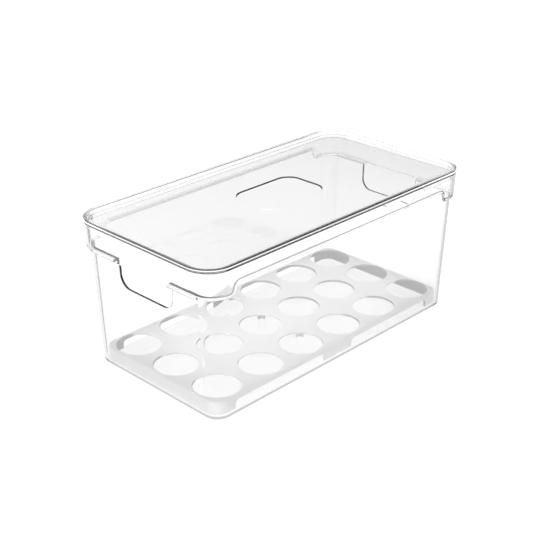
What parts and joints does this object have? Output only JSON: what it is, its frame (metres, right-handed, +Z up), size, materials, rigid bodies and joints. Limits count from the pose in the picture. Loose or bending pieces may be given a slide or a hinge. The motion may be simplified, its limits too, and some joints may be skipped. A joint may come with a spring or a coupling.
{
  "type": "lidded fridge egg bin",
  "caption": "Clear lidded fridge bin with a cut-out handle in each end and a loose white tray with rows of round egg holes inside.",
  "frame": {"origin": "centre of the tub's underside, where the bin stands", "axes": "+X along the bin towards one handle end, +Y across it, +Z up through the lid"},
  "size_m": [0.324, 0.165, 0.1376],
  "materials": {
    "clear_tub": "clear, polished",
    "white_tray": "satin",
    "clear_lid": "clear, polished"
  },
  "bodies": {
    "tub": {"bin_tub": "clear_tub"},
    "tray": {"egg_tray": "white_tray"},
    "lid": {"lid": "clear_lid"}
  },
  "joints": [
    {"name": "lid_lift", "type": "slide", "parent": "tub", "child": "lid", "axis": [0, 0, 1], "range_m": [0, 0.1]},
    {"name": "tray_lift", "type": "slide", "parent": "tub", "child": "tray", "axis": [0, 0, 1], "range_m": [0, 0.11]}
  ]
}
